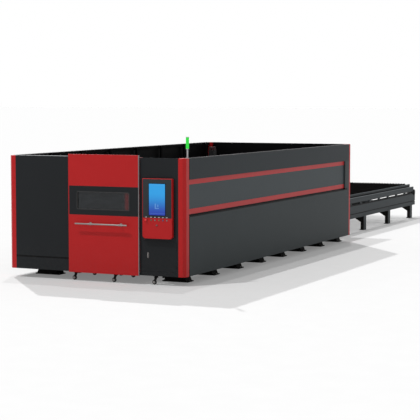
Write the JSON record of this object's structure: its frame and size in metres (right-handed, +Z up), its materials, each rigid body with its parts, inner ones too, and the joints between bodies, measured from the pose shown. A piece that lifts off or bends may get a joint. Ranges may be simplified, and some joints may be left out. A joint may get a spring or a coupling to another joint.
{
  "type": "cabinet laser cutting machine",
  "caption": "Sheet metal laser cutter in an open-roofed cabinet with a sliding front door, control panel, gantry, two exchange tables and a pallet stand.",
  "frame": {"origin": "on the floor under the middle of the whole machine, stand included", "axes": "+X to the operator's right, +Y from the operator's front towards the pallet stand, +Z up"},
  "size_m": [3.64, 16.286, 2.65],
  "materials": {
    "red_paint": "powder coat, satin",
    "black_paint": "powder coat, satin",
    "grey_paint": "powder coat, satin",
    "bed_paint": "textured paint, dusty",
    "stand_paint": "textured paint, satin",
    "foot_black": "textured paint, matt",
    "gantry_grey": "paint, satin",
    "fascia_grey": "paint, matt",
    "ground_steel": "ground",
    "raw_steel": "hot rolled, worn",
    "slat_steel": "laser cut, heat marked",
    "satin_steel": "satin",
    "edge_aluminium": "anodised",
    "head_aluminium": "machined",
    "window_glass": "dark laser safety glass",
    "screen": "lit display",
    "lamp_grey": "moulded",
    "lamp_green": "lit lens",
    "button_red": "moulded",
    "button_green": "moulded",
    "button_white": "moulded",
    "button_yellow": "moulded",
    "button_blue": "moulded",
    "caster_rubber": "moulded"
  },
  "bodies": {
    "root": {"bed_side_beams": "bed_paint", "bed_cross_tubes": "bed_paint", "bed_feet": "foot_black", "gantry_rails": "ground_steel", "table_tracks": "raw_steel", "corner_posts": "red_paint", "side_panels": "grey_paint", "side_stripes": "red_paint", "wall_frames": "bed_paint", "front_panels_left": "black_paint", "front_panels_right": "black_paint", "control_cabinet": "black_paint", "door_portal": "red_paint", "door_track": "ground_steel", "rear_panels": "grey_paint", "front_base": "foot_black", "hmi_housing": "red_paint", "hmi_fascia": "fascia_grey", "hmi_screen": "screen", "button_bezels": "satin_steel", "stack_light_pole": "lamp_grey", "stack_light_lens": "lamp_green", "stand_sides": "stand_paint", "stand_legs": "stand_paint", "stand_cross_tubes": "stand_paint"},
    "door": {"door_leaf": "red_paint", "door_band": "black_paint", "door_window": "window_glass", "door_edge": "edge_aluminium", "door_handle": "satin_steel", "door_hangers": "ground_steel"},
    "cabinet_door": {"cabinet_door": "black_paint"},
    "cabinet_latch": {"cabinet_latch": "satin_steel"},
    "stop_button": {"stop_button": "button_red"},
    "key_switch": {"key_switch": "satin_steel"},
    "gantry": {"gantry_beam": "gantry_grey", "gantry_trucks": "gantry_grey"},
    "carriage": {"carriage": "gantry_grey", "z_drive_caps": "red_paint"},
    "cutting_head": {"cutting_head": "head_aluminium"},
    "upper_table": {"upper_table_frame": "stand_paint", "upper_table_slats": "slat_steel"},
    "lower_table": {"lower_table_frame": "stand_paint", "lower_table_slats": "slat_steel"},
    "exchange_shaft": {"exchange_shaft": "raw_steel"},
    "push_button_1": {"push_button_1": "button_green"},
    "push_button_2": {"push_button_2": "button_white"},
    "push_button_3": {"push_button_3": "button_yellow"},
    "push_button_4": {"push_button_4": "button_blue"},
    "push_button_5": {"push_button_5": "button_white"},
    "caster_fork_1": {"caster_fork_1": "foot_black"},
    "caster_wheel_1": {"caster_wheel_1": "caster_rubber"},
    "caster_fork_2": {"caster_fork_2": "foot_black"},
    "caster_wheel_2": {"caster_wheel_2": "caster_rubber"},
    "caster_fork_3": {"caster_fork_3": "foot_black"},
    "caster_wheel_3": {"caster_wheel_3": "caster_rubber"},
    "caster_fork_4": {"caster_fork_4": "foot_black"},
    "caster_wheel_4": {"caster_wheel_4": "caster_rubber"},
    "caster_fork_5": {"caster_fork_5": "foot_black"},
    "caster_wheel_5": {"caster_wheel_5": "caster_rubber"}
  },
  "joints": [
    {"name": "door_slide", "type": "slide", "parent": "root", "child": "door", "axis": [-1, 0, 0], "range_m": [0, 1.1]},
    {"name": "cabinet_door_hinge", "type": "hinge", "parent": "root", "child": "cabinet_door", "pos_m": [1.654, -8.013, 0.515], "axis": [0, 0, 1], "range_deg": [0, 110]},
    {"name": "cabinet_latch_turn", "type": "hinge", "parent": "cabinet_door", "child": "cabinet_latch", "pos_m": [1.085, -8.007, 0.569], "axis": [0, -1, 0], "range_deg": [0, 90]},
    {"name": "stop_button_press", "type": "slide", "parent": "root", "child": "stop_button", "axis": [0, 1, 0], "range_m": [0, 0.005]},
    {"name": "key_switch_turn", "type": "hinge", "parent": "root", "child": "key_switch", "pos_m": [1.293, -8.072, 1.08], "axis": [0, -1, 0], "range_deg": [0, 90]},
    {"name": "gantry_travel", "type": "slide", "parent": "root", "child": "gantry", "axis": [0, 1, 0], "range_m": [-4.35, 1.9]},
    {"name": "carriage_travel", "type": "slide", "parent": "gantry", "child": "carriage", "axis": [1, 0, 0], "range_m": [-0.6, 1.45]},
    {"name": "head_travel", "type": "slide", "parent": "carriage", "child": "cutting_head", "axis": [0, 0, 1], "range_m": [-0.28, 0]},
    {"name": "upper_table_travel", "type": "slide", "parent": "root", "child": "upper_table", "axis": [0, -1, 0], "range_m": [0, 7.65]},
    {"name": "lower_table_travel", "type": "slide", "parent": "root", "child": "lower_table", "axis": [0, 1, 0], "range_m": [0, 7.65]},
    {"name": "exchange_shaft_turn", "type": "hinge", "parent": "root", "child": "exchange_shaft", "pos_m": [0, 8.043, 0.7], "axis": [1, 0, 0], "continuous": true},
    {"name": "push_button_1_press", "type": "slide", "parent": "root", "child": "push_button_1", "axis": [0, 1, 0], "range_m": [0, 0.005], "stiffness_N_per_m": 400},
    {"name": "push_button_2_press", "type": "slide", "parent": "root", "child": "push_button_2", "axis": [0, 1, 0], "range_m": [0, 0.005], "stiffness_N_per_m": 400},
    {"name": "push_button_3_press", "type": "slide", "parent": "root", "child": "push_button_3", "axis": [0, 1, 0], "range_m": [0, 0.005], "stiffness_N_per_m": 400},
    {"name": "push_button_4_press", "type": "slide", "parent": "root", "child": "push_button_4", "axis": [0, 1, 0], "range_m": [0, 0.005], "stiffness_N_per_m": 400},
    {"name": "push_button_5_press", "type": "slide", "parent": "root", "child": "push_button_5", "axis": [0, 1, 0], "range_m": [0, 0.005], "stiffness_N_per_m": 400},
    {"name": "caster_swivel_1", "type": "hinge", "parent": "root", "child": "caster_fork_1", "pos_m": [-0.435, -7.937, 0.15], "axis": [0, 0, 1], "continuous": true},
    {"name": "caster_roll_1", "type": "hinge", "parent": "caster_fork_1", "child": "caster_wheel_1", "pos_m": [-0.47, -7.937, 0.0435], "axis": [0, 1, 0], "continuous": true},
    {"name": "caster_swivel_2", "type": "hinge", "parent": "root", "child": "caster_fork_2", "pos_m": [0.39, -7.937, 0.15], "axis": [0, 0, 1], "continuous": true},
    {"name": "caster_roll_2", "type": "hinge", "parent": "caster_fork_2", "child": "caster_wheel_2", "pos_m": [0.355, -7.937, 0.0435], "axis": [0, 1, 0], "continuous": true},
    {"name": "caster_swivel_3", "type": "hinge", "parent": "root", "child": "caster_fork_3", "pos_m": [1.21, -7.937, 0.15], "axis": [0, 0, 1], "continuous": true},
    {"name": "caster_roll_3", "type": "hinge", "parent": "caster_fork_3", "child": "caster_wheel_3", "pos_m": [1.175, -7.937, 0.0435], "axis": [0, 1, 0], "continuous": true},
    {"name": "caster_swivel_4", "type": "hinge", "parent": "root", "child": "caster_fork_4", "pos_m": [-0.435, -7.197, 0.15], "axis": [0, 0, 1], "continuous": true},
    {"name": "caster_roll_4", "type": "hinge", "parent": "caster_fork_4", "child": "caster_wheel_4", "pos_m": [-0.47, -7.197, 0.0435], "axis": [0, 1, 0], "continuous": true},
    {"name": "caster_swivel_5", "type": "hinge", "parent": "root", "child": "caster_fork_5", "pos_m": [0.39, -7.197, 0.15], "axis": [0, 0, 1], "continuous": true},
    {"name": "caster_roll_5", "type": "hinge", "parent": "caster_fork_5", "child": "caster_wheel_5", "pos_m": [0.355, -7.197, 0.0435], "axis": [0, 1, 0], "continuous": true}
  ],
  "couplings": [
    {"joint": "lower_table_travel", "follows": "upper_table_travel", "ratio": 1},
    {"joint": "exchange_shaft_turn", "follows": "upper_table_travel", "rad_per_m": 10}
  ]
}
